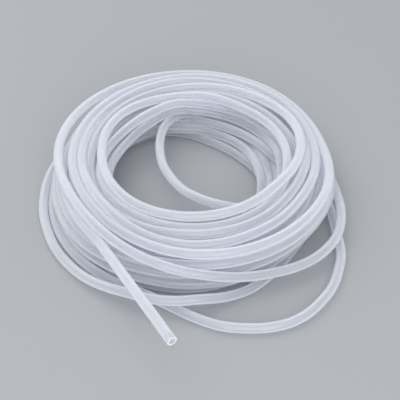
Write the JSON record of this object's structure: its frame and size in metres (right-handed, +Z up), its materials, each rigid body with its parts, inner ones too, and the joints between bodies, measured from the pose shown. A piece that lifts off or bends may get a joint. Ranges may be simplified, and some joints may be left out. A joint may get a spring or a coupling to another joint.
{
  "type": "silicone tubing coil",
  "caption": "Loosely wound coil of translucent silicone tubing lying flat, with stray loops and one free open end.",
  "frame": {"origin": "on the floor, at the middle of the coil's footprint", "axes": "+Z up through the open middle of the coil, and the free end points towards -Y"},
  "size_m": [0.1973, 0.2397, 0.0339],
  "materials": {
    "silicone": "satin, milky translucent"
  },
  "bodies": {
    "root": {"coil": "silicone", "free_end": "silicone", "base_loop": "silicone", "outer_loop": "silicone", "side_loop": "silicone", "inner_loop": "silicone"}
  },
  "joints": []
}
